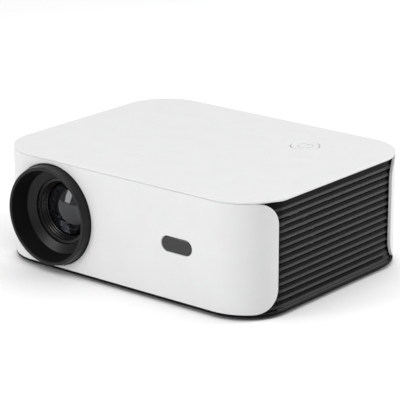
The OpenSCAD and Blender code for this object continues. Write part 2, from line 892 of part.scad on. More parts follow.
module exhaust_fan_rotor() {
    hub_h = 10.5;
    hub_z = 1.5;
    blade_tip_r = 27.6;
    blade_w = 12.8;
    blade_t = 1.2;
    tilt = 38;
    color("#27282b") on_fan_axis() {
        difference() {
            translate([0, 0, hub_z]) cylinder(r = fan_hub_r, h = hub_h);
            translate([0, 0, hub_z + 1.6]) cylinder(r = fan_hub_r - 1.4, h = hub_h);
        }
        translate([0, 0, hub_z + 0.5]) cylinder(r = shaft_r, h = fan_t - hub_z - 1.7);
        for (i = [0:blade_n - 1]) rotate([0, 0, i * 360 / blade_n])
            translate([fan_hub_r - 0.6, 0, hub_z + hub_h / 2]) rotate([tilt, 0, 0])
                translate([0, -blade_w / 2, -blade_t / 2])
                    cube([blade_tip_r - fan_hub_r, blade_w, blade_t]);
    }
}

module fan_screws() {
    color("#6d6f73") {
        on_fan_axis() for (sx = [-1, 1], sy = [-1, 1])
            translate([sx * fan_hole, sy * fan_hole, 0]) screw(12);
        for (s = [-1, 1])
            translate([blower_x + s * blower_hole, blower_y + s * blower_hole, blower_z0 + blower_h])
                rotate([180, 0, 0]) screw(8);
    }
}

module blower_housing() {
    scroll_h = blower_h - blower_lid_t;
    floor_t = 1.5;
    color("#1e1f21") translate([blower_x, blower_y, blower_z0]) difference() {
        union() {
            difference() {
                translate([-blower_w / 2, -blower_w / 2, 0]) cube([blower_w, blower_w, scroll_h]);
                translate([0, 0, floor_t]) cylinder(r = chamber_r, h = blower_h);
                translate([3, 0, floor_t]) cube([chamber_r - 3, blower_w / 2 + cut, blower_h]);
            }
            translate([0, 0, 1]) cylinder(r = 3.2, h = 6);
        }
        translate([0, 0, 2]) cylinder(r = bush_r, h = blower_h);
        for (s = [-1, 1]) translate([s * blower_hole, s * blower_hole, scroll_h - 7])
            cylinder(r = screw_r, h = 7 + cut);
    }
}

module blower_cover() {
    color("#232427") translate([blower_x, blower_y, blower_z0 + blower_h - blower_lid_t]) difference() {
        translate([-blower_w / 2, -blower_w / 2, 0]) cube([blower_w, blower_w, blower_lid_t]);
        translate([0, 0, -cut]) cylinder(r = inlet_r, h = blower_lid_t + 2 * cut);
        for (s = [-1, 1]) translate([s * blower_hole, s * blower_hole, -cut])
            cylinder(r = screw_hole_r, h = blower_lid_t + 2 * cut);
    }
}

module blower_rotor() {
    hub_r = 8;
    disc_r = 20.5;
    color("#2b2c2f") translate([blower_x, blower_y, blower_z0]) {
        difference() {
            translate([0, 0, 2.4]) cylinder(r = hub_r, h = 9);
            translate([0, 0, 2.4 - cut]) cylinder(r = hub_r - 2, h = 6.4 + cut);
        }
        difference() {
            translate([0, 0, 8.4]) cylinder(r = disc_r, h = 1.2);
            translate([0, 0, 8]) cylinder(r = hub_r - 1, h = 2);
        }
        translate([0, 0, 2.6]) cylinder(r = shaft_r, h = 7);
        for (i = [0:blower_blade_n - 1]) rotate([0, 0, i * 360 / blower_blade_n])
            translate([15.5, -0.4, 2.4]) cube([4.8, 0.8, 10]);
    }
}

// ---------------------------------------------------------------- electronics

// Its children with +Z turned to the rear, at the main board's four screw holes
module at_board_holes() {
    for (x = [main_x0 + main_hole, main_x1 - main_hole], z = [main_z0 + main_hole, main_z1 - main_hole])
        translate([x, main_y, z]) rotate([-90, 0, 0]) children();
}

module main_board() {
    color("#235c3d") difference() {
        translate([main_x0, main_y, main_z0]) cube([main_x1 - main_x0, board_t, main_z1 - main_z0]);
        at_board_holes() translate([0, 0, -cut]) cylinder(r = screw_hole_r, h = board_t + 2 * cut);
    }
}

module chip_heatsink() {
    w = 24;
    h = 20;
    fins = 7;
    fin_t = 1.2;
    color("#9ca0a4") translate([10, main_y + board_t, 32]) {
        cube([w, 1.6, h]);
        for (i = [0:fins - 1]) translate([i * (w - fin_t) / (fins - 1), 1, 0])
            cube([fin_t, 5, h]);
    }
}

module hdmi_socket() {
    w = 15;
    h = 5.9;
    color("#b9bcc0") translate([hdmi_x - w / 2, main_y + board_t, port_z - h / 2]) difference() {
        cube([w, socket_y - main_y - board_t, h]);
        translate([0.6, 4, 0.6]) cube([w - 1.2, socket_y, h - 1.2]);
    }
}

module usb_socket() {
    w = 13.2;
    h = 6.2;
    color("#b9bcc0") translate([usb_x - w / 2, main_y + board_t, port_z - h / 2]) {
        difference() {
            cube([w, socket_y - main_y - board_t, h]);
            translate([0.5, 3, 0.5]) cube([w - 1, socket_y, h - 1]);
        }
        translate([1, 2.5, 0.4]) cube([w - 2, 8, 0.8]);
    }
}

module audio_jack() {
    l = socket_y - main_y - board_t;
    color("#222326") translate([audio_x, main_y + board_t, port_z]) rotate([-90, 0, 0]) difference() {
        union() {
            translate([-4.5, -3.5, 0]) cube([9, 7, 9]);
            cylinder(r = 3, h = l);
        }
        translate([0, 0, 1]) cylinder(r = 1.8, h = l);
    }
}

module dc_inlet() {
    l = socket_y - main_y - board_t;
    color("#1f2022") translate([dc_x, main_y + board_t, port_z]) rotate([-90, 0, 0]) {
        difference() {
            union() {
                translate([-5.5, -5.5, 0]) cube([11, 11, 9]);
                cylinder(r = 4.8, h = l);
            }
            translate([0, 0, 2]) cylinder(r = 3.2, h = l);
        }
        translate([0, 0, 1.5]) cylinder(r = 1, h = l - 3);
    }
}

module ir_receiver_board() {
    w = 20;
    h = 16;
    board_y = front_y + 9;
    sensor = [7, 4.6, 6];
    color("#235c3d") {
        translate([window_x - w / 2, board_y, window_z - h / 2]) cube([w, board_t, h]);
        translate([window_x - sensor[0] / 2, board_y + 0.1 - sensor[1], window_z - sensor[2] / 2])
            cube(sensor);
    }
}

module driver_board() {
    x = -15;
    y = -66;
    z = 8;
    w = 22;
    d = 49;
    leg_in = 3;
    color("#235c3d") {
        translate([x, y, z]) cube([w, d, board_t]);
        // coil and two capacitors
        translate([x + 4, y + 6, z + 1]) cube([12, 12, 10]);
        for (dy = [28, 38]) translate([x + 17, y + dy, z + 1]) cylinder(r = 4, h = 14);
        for (dx = [leg_in, w - leg_in], dy = [leg_in, d - leg_in]) translate([x + dx, y + dy, floor_z])
            cylinder(r = 2, h = z - floor_z + bond);
    }
}

// Its children with +Z turned to the right, on the speaker's axis
module on_speaker_axis() {
    translate([speaker_x, speaker_y, speaker_z]) rotate([0, 90, 0]) children();
}

module speaker_frame() {
    color("#3a3b3e") on_speaker_axis() rotate_extrude() polygon([
        [speaker_r, 0], [speaker_r, -1.2], [speaker_r - 2.6, -1.2], [11, -9], [11, -15],
        [0, -15], [0, -9.4], [9.6, -9.4], [speaker_r - 3.2, 0]]);
}

module speaker_cone() {
    color("#17181a") on_speaker_axis() rotate_extrude() polygon([
        [speaker_r - 3.8, -0.4], [9.2, -8.9], [0, -9.3], [0, -7.4], [6, -8], [8.6, -8.2],
        [speaker_r - 5.4, -0.4]]);
}

module board_screws() {
    color("#6d6f73") at_board_holes() screw(5);
}

base_tray();
top_cover();
front_panel();
rear_panel();
left_grille();
right_grille();
dust_filter();
foot_front_left();
foot_front_right();
foot_rear_left();
foot_rear_right();
tripod_insert();
case_screws();
ir_window();
power_button();
switch_plunger();
tact_switch();
button_board();
button_board_screws();
focus_ring();
lens_cell();
front_retainer();
front_element();
spacer_ring();
middle_element();
rear_element();
rear_retainer();
lens_barrel();
barrel_clip();
lens_screws();
engine_housing();
engine_lid();
engine_screws();
fold_mirror();
front_fresnel();
lcd_panel();
rear_fresnel();
heat_glass();
condenser_lens();
light_funnel();
led_module();
led_heatsink();
exhaust_fan_frame();
exhaust_fan_rotor();
fan_screws();
blower_housing();
blower_cover();
blower_rotor();
main_board();
chip_heatsink();
hdmi_socket();
usb_socket();
audio_jack();
dc_inlet();
ir_receiver_board();
driver_board();
speaker_frame();
speaker_cone();
board_screws();
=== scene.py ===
import math

import bmesh
import bpy
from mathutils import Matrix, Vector
from mathutils.geometry import delaunay_2d_cdt


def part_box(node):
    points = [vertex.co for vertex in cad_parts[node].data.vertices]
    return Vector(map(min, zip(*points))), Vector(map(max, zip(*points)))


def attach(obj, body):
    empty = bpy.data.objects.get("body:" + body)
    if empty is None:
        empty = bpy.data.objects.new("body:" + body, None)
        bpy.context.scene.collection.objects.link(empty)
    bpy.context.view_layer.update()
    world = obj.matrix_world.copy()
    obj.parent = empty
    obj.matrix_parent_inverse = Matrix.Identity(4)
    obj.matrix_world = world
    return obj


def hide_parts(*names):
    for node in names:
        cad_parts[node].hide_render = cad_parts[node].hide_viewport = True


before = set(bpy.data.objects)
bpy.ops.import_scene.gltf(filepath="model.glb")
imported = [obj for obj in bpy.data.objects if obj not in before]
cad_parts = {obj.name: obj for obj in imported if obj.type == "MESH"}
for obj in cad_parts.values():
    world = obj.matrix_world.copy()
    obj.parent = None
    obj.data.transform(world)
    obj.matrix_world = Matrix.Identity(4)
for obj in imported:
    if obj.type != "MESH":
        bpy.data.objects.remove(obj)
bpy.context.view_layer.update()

# Lengths are in millimetres in the row frame, and meshes are scaled to metres as they are made.
MM = 0.001


def box_mm(node):
    """Lowest and highest corner of a CAD node, in millimetres."""
    low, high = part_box(node)
    return low / MM, high / MM


# ---------------------------------------------------------------- places, from the CAD frame

panel_low, panel_high = box_mm("front_panel")
cover_low, cover_high = box_mm("top_cover")
ring_low, ring_high = box_mm("focus_ring")
window_low, window_high = box_mm("ir_window")
button_low, button_high = box_mm("power_button")

# the body: a flat box whose upright corners are arcs
BODY_W = cover_high.x - cover_low.x
BODY_D = cover_high.y - cover_low.y
FRONT_Y = cover_low.y
MID_Y = (cover_high.y + cover_low.y) / 2
CORNER_R = 30.0
CORNER_X = BODY_W / 2 - CORNER_R
CORNER_Y = BODY_D / 2 - CORNER_R
TOP_Z = cover_high.z
COVER_Z = box_mm("right_grille")[1].z       # underside of the cover's flat
SEAM = 0.15                                 # gap between the casing's pieces

# the white panels, which wrap round the corners and stop short of the sides
SKIN = 2.0
PANEL_FLOOR_Z = panel_low.z
PANEL_TOP_Z = panel_high.z
WRAP_STOP = math.radians(14)                # part of a corner's turn that a panel leaves free
PANEL_END_R = 14.0
PORT_Z = 20.0

LENS_X = (ring_low.x + ring_high.x) / 2
LENS_Z = (ring_low.z + ring_high.z) / 2
WINDOW_X = (window_low.x + window_high.x) / 2
WINDOW_Z = (window_low.z + window_high.z) / 2
WINDOW_FLANGE = 2.5
WINDOW_W = window_high.x - window_low.x - 2 * WINDOW_FLANGE
WINDOW_H = window_high.z - window_low.z - 2 * WINDOW_FLANGE
BUTTON_X = (button_low.x + button_high.x) / 2
BUTTON_Y = (button_low.y + button_high.y) / 2
BUTTON_TOP_Z = button_high.z
BUTTON_R = 9.0                              # the well in the cover, which the cap stands in


# ---------------------------------------------------------------- mesh code

SHARP_EDGE = math.radians(32)
FILL_INSIDE = 1                             # the fill keeps only faces inside the outline
LEAST_TURN = 0.5                            # keeps a sharp corner's inset from running away
WELD = 1e-6                                 # points closer than this are one


class Shell:
    """Points in millimetres and the faces between them."""

    def __init__(self):
        self.points = []
        self.faces = []

    def ring(self, points):
        """Adds points and gives their numbers."""
        first = len(self.points)
        self.points.extend(points)
        return list(range(first, len(self.points)))

    def skin(self, a, b):
        """Quads between two closed rings of the same length."""
        for i in range(len(a)):
            j = (i + 1) % len(a)
            self.faces.append((a[i], a[j], b[j], b[i]))

    def skins(self, rings):
        """Quads between each ring and the next."""
        for a, b in zip(rings, rings[1:]):
            self.skin(a, b)

    def fill(self, outer, holes=(), inner_points=(), place=None):
        """Fills the area in an outline, less its holes, through any inner points, which a place
        function puts in space. Each outline is (numbers, flat places)."""
        numbers, flat, edges = [], [], []
        for ids, line in [outer, *holes]:
            start = len(flat)
            numbers.extend(ids)
            flat.extend(Vector(p) for p in line)
            edges.extend((start + i, start + (i + 1) % len(ids)) for i in range(len(ids)))
        for p in inner_points:
            if inside(p, outer[1]) and not any(inside(p, h[1]) for h in holes):
                numbers.append(self.ring([place(*p)])[0])
                flat.append(Vector(p))
        places, _, faces, sources, _, _ = delaunay_2d_cdt(flat, edges, [], FILL_INSIDE, WELD)
        for face in faces:
            middle = sum((places[i] for i in face), Vector((0, 0))) / len(face)
            if any(inside(middle, h[1]) for h in holes):
                continue
            self.faces.append(tuple(numbers[sources[i][0]] for i in face))

    def piece(self, name, body, slot, *nodes):
        """Makes the Blender object, in its slot's look, and hands it to the frame."""
        mesh = bpy.data.meshes.new(name)
        mesh.from_pydata([Vector(p) * MM for p in self.points], [], self.faces)
        work = bmesh.new()
        work.from_mesh(mesh)
        loose = [v for v in work.verts if not v.link_faces]
        bmesh.ops.delete(work, geom=loose, context="VERTS")
        bmesh.ops.recalc_face_normals(work, faces=work.faces)
        work.to_mesh(mesh)
        work.free()
        mesh.shade_smooth()
        mesh.set_sharp_from_angle(angle=SHARP_EDGE)
        made = bpy.data.objects.new(name, mesh)
        bpy.context.scene.collection.objects.link(made)
        mesh.materials.append(LOOKS[slot])
        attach(made, body)
        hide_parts(*nodes)


def inside(point, outline):
    """True if a flat point lies in a flat outline."""
    x, y = point[0], point[1]
    found = False
    for i in range(len(outline)):
        ax, ay = outline[i][0], outline[i][1]
        bx, by = outline[i - 1][0], outline[i - 1][1]
        if (ay > y) != (by > y) and x < (bx - ax) * (y - ay) / (by - ay) + ax:
            found = not found
    return found


def inset(outline, distance, shares):
    """A smooth flat outline, drawn counterclockwise, moved inwards by each point's own share of
    a distance."""
    moved = []
    count = len(outline)
    for i in range(count):
        here, before, after = (Vector(outline[k % count]) for k in (i, i - 1, i + 1))
        first = (here - before).normalized()
        second = (after - here).normalized()
        normal = Vector((-first.y - second.y, first.x + second.x)).normalized()
        widen = 1 / max(LEAST_TURN, normal.dot(Vector((-first.y, first.x))))
        moved.append(tuple(here + normal * distance * shares[i] * widen))
    return moved


def rounded(points, radii, steps, closed=True):
    """A flat outline whose corners are rounded, each by its own radius; 0 keeps a corner."""
    made = []
    count = len(points)
    for i in range(count):
        here, radius = Vector(points[i]), radii[i]
        ends = not closed and i in (0, count - 1)
        if radius <= 0 or ends:
            made.append(tuple(here))
            continue
        back = (Vector(points[i - 1]) - here).normalized()
        ahead = (Vector(points[(i + 1) % count]) - here).normalized()
        half = math.acos(max(-1, min(1, back.dot(ahead)))) / 2
        run = radius / math.tan(half)
        centre = here + (back + ahead).normalized() * (radius / math.sin(half))
        a, b = here + back * run - centre, here + ahead * run - centre
        sweep = math.atan2(a.x * b.y - a.y * b.x, a.dot(b))
        for k in range(steps + 1):
            turn = sweep * k / steps
            cos, sin = math.cos(turn), math.sin(turn)
            made.append((centre.x + a.x * cos - a.y * sin, centre.y + a.x * sin + a.y * cos))
    return made


def circle(x, y, r, n=96):
    """Points of a circle, counterclockwise."""
    turns = [2 * math.pi * i / n for i in range(n)]
    return [(x + r * math.cos(t), y + r * math.sin(t)) for t in turns]


def pill(x, y, w, h, n=24):
    """Points of a bar with round ends, counterclockwise."""
    r = h / 2
    made = []
    for sign, start in ((1, -math.pi / 2), (-1, math.pi / 2)):
        for i in range(n + 1):
            turn = start + math.pi * i / n
            made.append((x + sign * (w / 2 - r) + r * math.cos(turn), y + r * math.sin(turn)))
    return made


def on_lens(r, depth, turn):
    """Place at a radius from the lens axis and a distance behind the panel's face."""
    return (LENS_X + r * math.cos(turn), FRONT_Y + depth, LENS_Z + r * math.sin(turn))


def upright(x, y):
    """Place function of a lathe that stands at a point, for radius, height and turn."""
    return lambda r, z, turn: (x + r * math.cos(turn), y + r * math.sin(turn), z)


def lathe(shell, profile, place, segments, closed=True):
    """Turns a profile of (radius, distance along the axis) round the axis of a place function."""
    rings = []
    for radius, along in profile:
        if radius < WELD:
            rings.append(shell.ring([place(0, along, 0)]))
            continue
        turns = [2 * math.pi * i / segments for i in range(segments)]
        rings.append(shell.ring([place(radius, along, t) for t in turns]))
    pairs = list(zip(rings, rings[1:]))
    if closed:
        pairs.append((rings[-1], rings[0]))
    for a, b in pairs:
        if len(a) == 1 and len(b) == 1:
            continue
        if len(a) == 1 or len(b) == 1:
            tip, edge = (a[0], b) if len(a) == 1 else (b[0], a)
            for i in range(len(edge)):
                shell.faces.append((edge[i], edge[(i + 1) % len(edge)], tip))
        else:
            shell.skin(a, b)


# ---------------------------------------------------------------- materials

class Look:
    """A Principled material with procedural colour, roughness and bump in object space."""

    def __init__(self, name, colour, roughness, **inputs):
        self.material = bpy.data.materials.new(name)
        self.material.use_nodes = True
        self.material.diffuse_color = (*colour, 1)
        self.nodes = self.material.node_tree.nodes
        self.links = self.material.node_tree.links
        self.shader = self.nodes["Principled BSDF"]
        self.shader.inputs["Base Color"].default_value = (*colour, 1)
        self.shader.inputs["Roughness"].default_value = roughness
        for key, value in inputs.items():
            self.shader.inputs[key.replace("_", " ")].default_value = value
        self.colour = colour
        self.place = self.nodes.new("ShaderNodeTexCoord").outputs["Object"]
        self.height = None

    def stretch(self, x, y, z):
        """Object space scaled by an amount per axis."""
        node = self.nodes.new("ShaderNodeMapping")
        node.inputs["Scale"].default_value = (x, y, z)
        self.links.new(self.place, node.inputs["Vector"])
        return node.outputs["Vector"]

    def noise(self, size_mm, detail=3.0, rough=0.55, place=None):
        """A cloudy pattern whose features are about this size."""
        node = self.nodes.new("ShaderNodeTexNoise")
        node.inputs["Scale"].default_value = 1 / (size_mm * MM)
        node.inputs["Detail"].default_value = detail
        node.inputs["Roughness"].default_value = rough
        self.links.new(place or self.place, node.inputs["Vector"])
        return node.outputs["Fac"]

    def cells(self, size_mm, feature="F1", place=None):
        """A cell pattern whose cells are about this size."""
        node = self.nodes.new("ShaderNodeTexVoronoi")
        node.feature = feature
        node.inputs["Scale"].default_value = 1 / (size_mm * MM)
        self.links.new(place or self.place, node.inputs["Vector"])
        return node.outputs["Distance"]

    def bands(self, size_mm, kind, direction):
        """Repeated bands or rings of this pitch."""
        node = self.nodes.new("ShaderNodeTexWave")
        node.wave_type = kind
        if kind == "BANDS":
            node.bands_direction = direction
        else:
            node.rings_direction = direction
        radians_per_unit = 20               # of the wave texture at a scale of 1
        node.inputs["Scale"].default_value = 2 * math.pi / (radians_per_unit * size_mm * MM)
        self.links.new(self.place, node.inputs["Vector"])
        return node.outputs["Fac"]

    def ramp(self, fac, low, high, start=0.3, end=0.7):
        """A pattern as two colours or greys with a smooth step between them."""
        node = self.nodes.new("ShaderNodeValToRGB")
        first, last = node.color_ramp.elements
        first.position, last.position = start, end
        first.color, last.color = low, high
        self.links.new(fac, node.inputs["Fac"])
        return node.outputs["Color"]

    def tint(self, fac, amount, start=0.3, end=0.7, other=None):
        """Varies the base colour with a pattern, by a share of its brightness."""
        low = tuple(c * (1 - amount) for c in self.colour) if other is None else other
        colour = self.ramp(fac, (*low, 1), (*self.colour, 1), start, end)
        self.links.new(colour, self.shader.inputs["Base Color"])
        return self

    def gloss(self, fac, low, high, start=0.3, end=0.7):
        """Varies the roughness with a pattern, between two values."""
        grey = self.ramp(fac, (low, low, low, 1), (high, high, high, 1), start, end)
        self.links.new(grey, self.shader.inputs["Roughness"])
        return self

    def bump(self, fac, height_mm, strength=1.0):
        """Adds relief of a height from a pattern, over any relief before it."""
        node = self.nodes.new("ShaderNodeBump")
        node.inputs["Strength"].default_value = strength
        node.inputs["Distance"].default_value = height_mm * MM
        self.links.new(fac, node.inputs["Height"])
        if self.height is not None:
            self.links.new(self.height, node.inputs["Normal"])
        self.height = node.outputs["Normal"]
        self.links.new(self.height, self.shader.inputs["Normal"])
        return self


def spark_plastic(name, colour, roughness, grain_mm, depth_mm, **inputs):
    """Moulded plastic with a fine spark-eroded grain and a slight mottle."""
    mottle_mm, mottle, spread = 14, 0.02, 0.06
    look = Look(name, colour, roughness, **inputs)
    look.tint(look.noise(mottle_mm, 4), mottle, 0.35, 0.65)
    look.gloss(look.noise(grain_mm * 4, 2), roughness - spread, roughness + spread)
    look.bump(look.noise(grain_mm, 2, 0.7), depth_mm)
    look.bump(look.noise(grain_mm * 30, 2), depth_mm * 2.5, 0.4)
    return look.material


def upward_highlight_plastic(name, colour, painted_highlight, roughness, specular):
    """Black moulded plastic that is a little greyer on faces that look up: a painted highlight of
    the light from above, with a little random patchiness.
    """
    patchy = 0.12
    look = Look(name, colour, roughness, Specular_IOR_Level=specular)
    # painted highlight: the base colour turns from black to light grey as the surface normal points
    # up, plus a little random noise
    facing = look.nodes.new("ShaderNodeSeparateXYZ")
    normal = look.nodes["Texture Coordinate"].outputs["Normal"]
    look.links.new(normal, facing.inputs["Vector"])
    highlight_share = look.nodes.new("ShaderNodeMath")
    highlight_share.operation = "MULTIPLY_ADD"
    look.links.new(look.noise(3, 4), highlight_share.inputs[0])
    highlight_share.inputs[1].default_value = patchy
    look.links.new(facing.outputs["Z"], highlight_share.inputs[2])
    look.links.new(look.ramp(highlight_share.outputs["Value"], (*colour, 1), (*painted_highlight, 1), 0.2, 0.5),
                   look.shader.inputs["Base Color"])
    look.gloss(look.noise(1.6, 2), roughness - 0.05, roughness + 0.06)
    look.bump(look.noise(0.4, 2, 0.7), 0.008)
    return look.material


def brushed_metal(name, colour, roughness, lines_mm, scale=(1, 1, 1)):
    """Metal with a little staining and fine marks, long where the scale along an axis is small."""
    look = Look(name, colour, roughness, Metallic=1.0)
    along = look.stretch(*scale)
    look.tint(look.noise(6, 3), 0.12)
    look.gloss(look.noise(lines_mm, 3, place=along), roughness - 0.1, roughness + 0.12)
    look.bump(look.noise(lines_mm, 2, place=along), 0.006)
    return look.material


def coated_glass():
    """Lens glass; the base colour stands for its coating, which hides most of the inside."""
    look = Look("coated_glass", (0.16, 0.17, 0.21), 0.03, IOR=1.52, Transmission_Weight=1.0,
                Specular_IOR_Level=0.13)
    look.bump(look.noise(9, 2), 0.0008)
    look.gloss(look.noise(5, 3), 0.015, 0.05)
    return look.material


def window_gloss():
    """Smoked, polished plastic of the sensor window."""
    look = Look("window_gloss", (0.017, 0.016, 0.018), 0.12, IOR=1.52)
    look.gloss(look.noise(7, 3), 0.07, 0.15)
    look.tint(look.noise(18, 2), 0.1)
    look.bump(look.noise(11, 2), 0.002)
    return look.material


def foot_rubber():
    """Dull, slightly mottled rubber."""
    look = Look("foot_rubber", (0.012, 0.012, 0.012), 0.78)
    look.tint(look.noise(2.5, 4), 0.25)
    look.gloss(look.noise(0.8, 2), 0.7, 0.88)
    look.bump(look.noise(0.35, 3), 0.02)
    return look.material


def optic_acrylic():
    """Clear plastic with the rings of a Fresnel lens."""
    look = Look("optic_acrylic", (0.95, 0.96, 0.97), 0.08, IOR=1.49, Transmission_Weight=1.0)
    look.gloss(look.noise(4, 3), 0.05, 0.12)
    look.bump(look.bands(0.5, "RINGS", "X"), 0.02)
    return look.material


def lcd_glass():
    """Dark glass with the panel's fine rows and columns."""
    look = Look("lcd_glass", (0.018, 0.020, 0.026), 0.16, IOR=1.5)
    look.tint(look.bands(0.12, "BANDS", "Z"), 0.35)
    look.bump(look.bands(0.12, "BANDS", "Y"), 0.002)
    look.gloss(look.noise(5, 2), 0.12, 0.22)
    return look.material


def copper_board():
    """Bare, slightly tarnished copper."""
    look = Look("copper_board", (0.78, 0.40, 0.22), 0.32, Metallic=1.0)
    look.tint(look.noise(2.2, 5), 0.35)
    look.gloss(look.noise(1.1, 3), 0.24, 0.46)
    look.bump(look.noise(0.4, 2), 0.01)
    return look.material


def solder_mask():
    """Green board lacquer over raised tracks."""
    look = Look("solder_mask", (0.020, 0.115, 0.045), 0.28, Coat_Weight=0.4)
    tracks = look.cells(2.4, "DISTANCE_TO_EDGE", look.stretch(1, 1, 0.6))
    look.tint(tracks, 0.0, 0.03, 0.06, other=(0.045, 0.21, 0.075))
    look.gloss(look.noise(1.5, 3), 0.2, 0.38)
    look.bump(tracks, 0.03, 0.6)
    return look.material


def filter_foam():
    """Open-pored foam."""
    look = Look("filter_foam", (0.045, 0.046, 0.05), 0.92)
    pores = look.cells(0.9)
    look.tint(pores, 0.75, 0.15, 0.6, other=(0.10, 0.10, 0.105))
    look.bump(pores, 0.5)
    look.bump(look.noise(0.4, 3), 0.12)
    return look.material


def speaker_zinc():
    """Zinc plating with its crystal spangle."""
    look = Look("speaker_zinc", (0.36, 0.36, 0.37), 0.42, Metallic=1.0)
    look.tint(look.cells(3.5), 0.22, 0.1, 0.8)
    look.gloss(look.noise(2, 3), 0.32, 0.5)
    look.bump(look.noise(0.8, 3), 0.01)
    return look.material


def cone_paper():
    """Pressed paper with round ribs and fibres."""
    look = Look("cone_paper", (0.030, 0.029, 0.028), 0.82)
    look.tint(look.noise(1.2, 6, 0.7), 0.45)
    look.gloss(look.noise(1.6, 3), 0.72, 0.9)
    look.bump(look.bands(1.6, "RINGS", "X"), 0.12)
    look.bump(look.noise(0.5, 5, 0.7), 0.05)
    return look.material


# one material for each slot of the record
LOOKS = {
    "white_shell": spark_plastic("white_abs", (0.738, 0.739, 0.741), roughness=0.42,
                                 grain_mm=0.35, depth_mm=0.008),
    # the louvre slopes and other upward faces of the black shell carry a painted highlight in their
    # base colour
    "black_shell": upward_highlight_plastic("black_abs", (0.0035, 0.0035, 0.004), roughness=0.34,
                                 painted_highlight=(0.036, 0.036, 0.037), specular=0.055),
    "hood_black": spark_plastic("hood_abs", (0.007, 0.007, 0.0075), roughness=0.34,
                                grain_mm=0.3, depth_mm=0.006, Specular_IOR_Level=0.25),
    "lens_black": spark_plastic("lens_anodised", (0.008, 0.008, 0.009), roughness=0.30,
                                grain_mm=0.25, depth_mm=0.001, Specular_IOR_Level=0.5),
    "engine_black": spark_plastic("engine_abs", (0.022, 0.022, 0.024), roughness=0.55,
                                  grain_mm=0.8, depth_mm=0.02),
    "fan_black": spark_plastic("fan_pbt", (0.018, 0.018, 0.019), roughness=0.38,
                               grain_mm=0.5, depth_mm=0.01),
    "socket_black": spark_plastic("socket_nylon", (0.016, 0.016, 0.017), roughness=0.5,
                                  grain_mm=0.3, depth_mm=0.01),
    "plunger_blue": spark_plastic("plunger_pom", (0.028, 0.16, 0.46), roughness=0.35,
                                  grain_mm=0.3, depth_mm=0.004),
    "coated_glass": coated_glass(),
    "window_black": window_gloss(),
    "foot_rubber": foot_rubber(),
    "brass": brushed_metal("turned_brass", (0.72, 0.50, 0.22), roughness=0.28,
                           lines_mm=0.3, scale=(1, 1, 4)),
    "screw_steel": brushed_metal("screw_steel", (0.42, 0.42, 0.43), roughness=0.34,
                                 lines_mm=0.3),
    "socket_steel": brushed_metal("socket_steel", (0.62, 0.62, 0.63), roughness=0.25,
                                  lines_mm=0.5, scale=(1, 0.1, 1)),
    "mirror": brushed_metal("front_mirror", (0.93, 0.94, 0.95), roughness=0.12,
                            lines_mm=3.0),
    "bare_aluminium": brushed_metal("extruded_aluminium", (0.72, 0.73, 0.74), roughness=0.36,
                                    lines_mm=0.25, scale=(1, 1, 0.06)),
    "clear_optic": optic_acrylic(),
    "lcd_black": lcd_glass(),
    "copper_board": copper_board(),
    "board_green": solder_mask(),
    "filter_foam": filter_foam(),
    "speaker_metal": speaker_zinc(),
    "cone_paper": cone_paper(),
}
# each CAD mesh comes with one plain material, named after its slot
SLOT_OF = {name: node.data.materials[0].name for name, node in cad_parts.items()}


# ---------------------------------------------------------------- front and rear panels

def fillet_rows(radius, back_radius):
    """Rows of (inset, depth) from a panel's face, round its edge, to its back."""
    support, steps = 0.35, 5
    rows = [(radius + support, 0.0)]
    for i in range(steps + 1):
        turn = math.pi / 2 * i / steps
        rows.append((radius * (1 - math.sin(turn)), radius * (1 - math.cos(turn))))
    for i in range(steps + 1):
        turn = math.pi / 2 * i / steps
        rows.append((back_radius * (1 - math.cos(turn)),
                     SKIN - back_radius * (1 - math.sin(turn))))
    rows.append((back_radius + support, SKIN))
    return rows


def wall_point(side, s, z, depth):
    """Place on a panel: s along its face from the middle, z up, depth behind the face."""
    sign = math.copysign(1, s)
    turn = max(0.0, (abs(s) - CORNER_X) / CORNER_R)
    r = CORNER_R - depth
    x = s if turn == 0 else sign * (CORNER_X + r * math.sin(turn))
    return (x, MID_Y + side * (CORNER_Y + r * math.cos(turn)), z)


def wall_s(x, depth):
    """Distance along the face of the place that has this x and depth."""
    over = abs(x) - CORNER_X
    if over <= 0:
        return x
    return math.copysign(CORNER_X + CORNER_R * math.asin(over / (CORNER_R - depth)), x)


def panel_outline():
    """Outline of a panel, unrolled, counterclockwise, with both ends rounded."""
    end_out = CORNER_Y + CORNER_R * math.sin(WRAP_STOP)
    end_steps, bottom_steps, rise_steps = 22, 64, 16

    def s_at(out):
        return CORNER_X + CORNER_R * math.acos((out - CORNER_Y) / CORNER_R)

    lower = []
    for i in range(end_steps + 1):
        turn = math.pi / 2 * i / end_steps
        out = end_out + PANEL_END_R * (1 - math.sin(turn))
        lower.append((s_at(out), PANEL_FLOOR_Z + PANEL_END_R * (1 - math.cos(turn))))
    flat_end = lower[0][0]
    bottom = [(-flat_end + 2 * flat_end * i / bottom_steps, PANEL_FLOOR_Z)
              for i in range(1, bottom_steps)]
    rise_s, rise_z = lower[-1]
    both_z = PANEL_FLOOR_Z + PANEL_TOP_Z    # a height and its mirror image add up to this
    rise = [(rise_s, rise_z + (both_z - 2 * rise_z) * i / rise_steps)
            for i in range(1, rise_steps)]
    upper = [(s, both_z - z) for s, z in reversed(lower)]
    right = lower + rise + upper
    top = [(s, PANEL_TOP_Z) for s, z in reversed(bottom)]
    left = [(-s, z) for s, z in reversed(right)]
    return bottom + right + top + left


